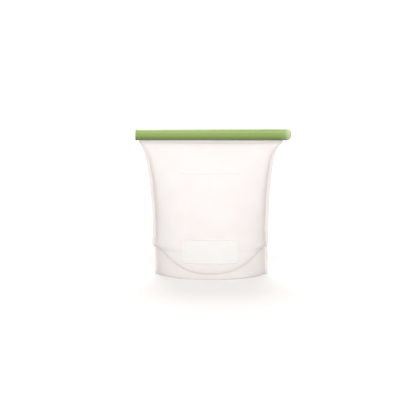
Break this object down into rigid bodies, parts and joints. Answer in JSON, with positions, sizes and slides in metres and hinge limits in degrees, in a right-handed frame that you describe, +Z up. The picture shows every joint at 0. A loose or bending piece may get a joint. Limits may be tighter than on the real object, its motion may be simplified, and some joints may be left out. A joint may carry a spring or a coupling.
{
  "type": "reusable silicone bag",
  "caption": "Stand-up silicone food bag with a gusseted base, closed along its mouth by a slide-on round bar.",
  "frame": {"origin": "on the floor, under the middle of the closing bar", "axes": "+X along the bar towards its cap, -Y to the front with the writing window, +Z up"},
  "size_m": [0.215, 0.0723, 0.2065],
  "materials": {
    "silicone": "translucent, matt",
    "seam_film": "translucent, matt",
    "bar_plastic": "satin",
    "grip_strip": "matt"
  },
  "bodies": {
    "bag": {"front_panel": "silicone", "back_panel": "silicone", "base_gusset": "silicone", "left_side_bond": "seam_film", "right_side_bond": "seam_film", "front_base_bond": "seam_film", "back_base_bond": "seam_film"},
    "bar": {"bar_channel": "bar_plastic", "bar_end_cap": "bar_plastic", "front_grip_strip": "grip_strip", "back_grip_strip": "grip_strip"}
  },
  "joints": [
    {"name": "bar_slide", "type": "slide", "parent": "bag", "child": "bar", "axis": [1, 0, 0], "range_m": [0, 0.2135]}
  ]
}
